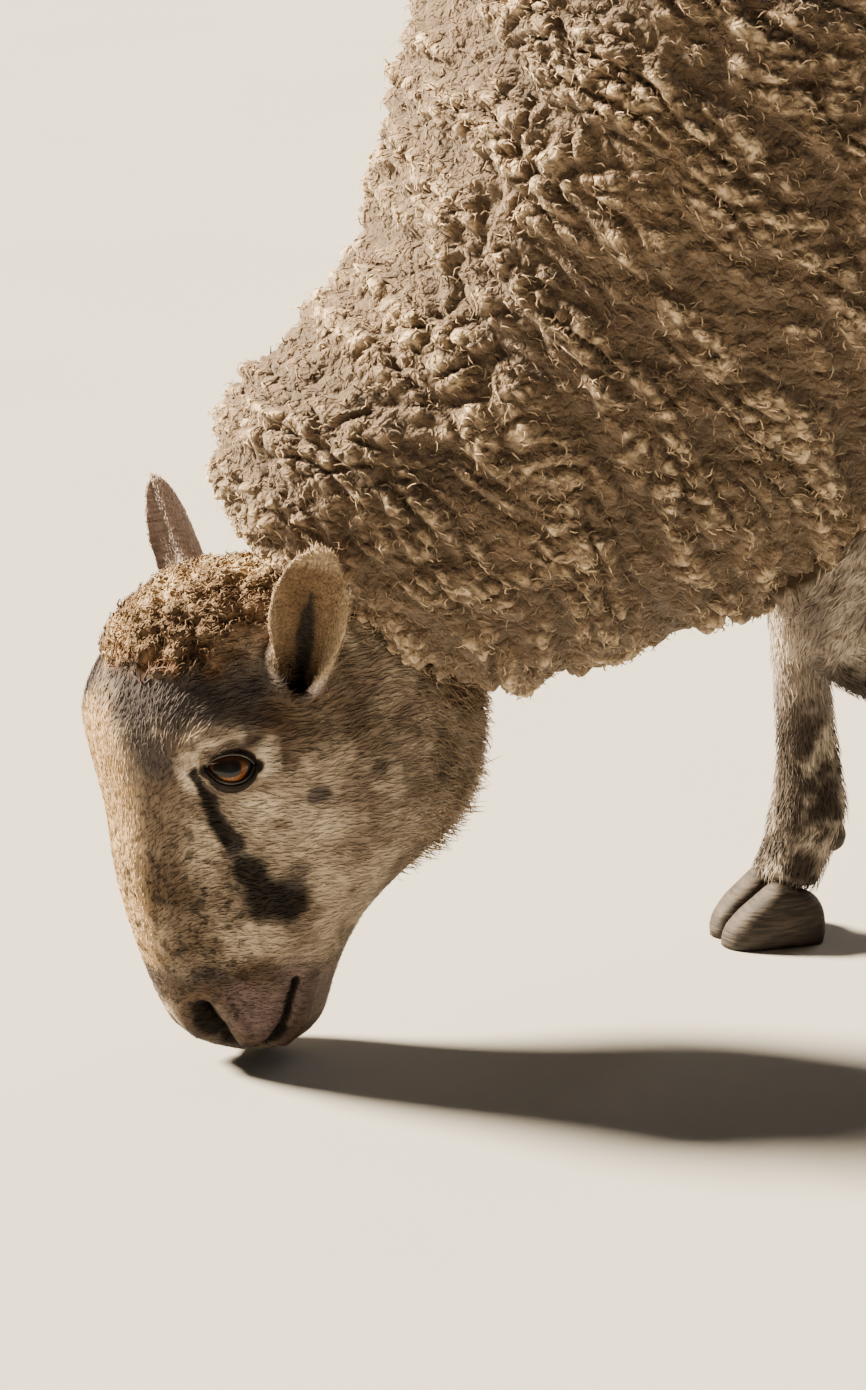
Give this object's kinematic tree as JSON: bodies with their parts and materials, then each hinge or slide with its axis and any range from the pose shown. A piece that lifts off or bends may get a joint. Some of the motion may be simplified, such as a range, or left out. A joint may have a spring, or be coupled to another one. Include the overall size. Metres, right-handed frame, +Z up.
{
  "type": "sheep",
  "caption": "Life-size still model of a hornless, speckle-faced ewe in full fleece, grazing with its muzzle on the ground and one fore knee bent.",
  "frame": {"origin": "on the ground under the middle of the animal's bounding box", "axes": "+X towards the tail (the animal faces -X), +Y towards its right side, +Z up"},
  "size_m": [1.1642, 0.4298, 0.7073],
  "materials": {
    "fleece": "matt crimped wool in small curled locks, warm cream over darker beige",
    "face_fur": "short flat hair, cream speckled with grey-brown",
    "leg_fur": "short flat hair, cream with dark brown patches",
    "horn": "dark ridged horn, dull",
    "eye": "wet amber iris with a dark level pupil"
  },
  "bodies": {
    "root": {"neck": "fleece", "trunk": "fleece", "tail": "fleece", "head": "face_fur", "eye_left": "eye", "eye_right": "eye", "ear_left": "face_fur", "ear_right": "face_fur", "fore_left_upper": "fleece", "fore_left_lower": "leg_fur", "fore_left_dewclaw_outer": "horn", "fore_left_claw_outer": "horn", "fore_left_dewclaw_inner": "horn", "fore_left_claw_inner": "horn", "fore_right_upper": "fleece", "fore_right_lower": "leg_fur", "fore_right_dewclaw_outer": "horn", "fore_right_claw_outer": "horn", "fore_right_dewclaw_inner": "horn", "fore_right_claw_inner": "horn", "hind_left_upper": "fleece", "hind_left_lower": "leg_fur", "hind_left_dewclaw_outer": "horn", "hind_left_claw_outer": "horn", "hind_left_dewclaw_inner": "horn", "hind_left_claw_inner": "horn", "hind_right_upper": "fleece", "hind_right_lower": "leg_fur", "hind_right_dewclaw_outer": "horn", "hind_right_claw_outer": "horn", "hind_right_dewclaw_inner": "horn", "hind_right_claw_inner": "horn"}
  },
  "joints": []
}
